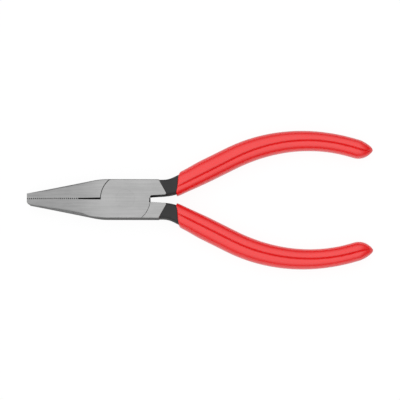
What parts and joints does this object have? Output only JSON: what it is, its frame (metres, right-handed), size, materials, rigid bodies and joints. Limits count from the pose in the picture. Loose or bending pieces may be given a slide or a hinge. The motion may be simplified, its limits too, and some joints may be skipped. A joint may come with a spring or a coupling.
{
  "type": "flat nose pliers",
  "caption": "Slim flat nose pliers with serrated tapering jaws, a riveted lap joint and bowed handles in soft red sleeves, for gripping and bending wire and sheet metal.",
  "frame": {"origin": "where the pivot axis meets the back face of the head, in the middle of the rivet's flush end", "axes": "+X from the pivot towards the handle ends, +Z along the pivot axis from the back face to the front face, +Y towards the front lever's handle"},
  "size_m": [0.125, 0.0502, 0.0092],
  "materials": {
    "lever_steel": "ground bright on the head and jaws, black oxide on the shanks",
    "rivet_steel": "ground flush with the head",
    "grip_vinyl": "soft semi-gloss red vinyl sleeve"
  },
  "bodies": {
    "back_half": {"back_lever": "lever_steel", "pivot_rivet": "rivet_steel", "back_grip": "grip_vinyl"},
    "front_half": {"front_lever": "lever_steel", "front_grip": "grip_vinyl"}
  },
  "joints": [
    {"name": "jaw_pivot", "type": "hinge", "parent": "back_half", "child": "front_half", "pos_m": [0, 0, 0.004], "axis": [0, 0, 1], "range_deg": [0, 75]}
  ]
}
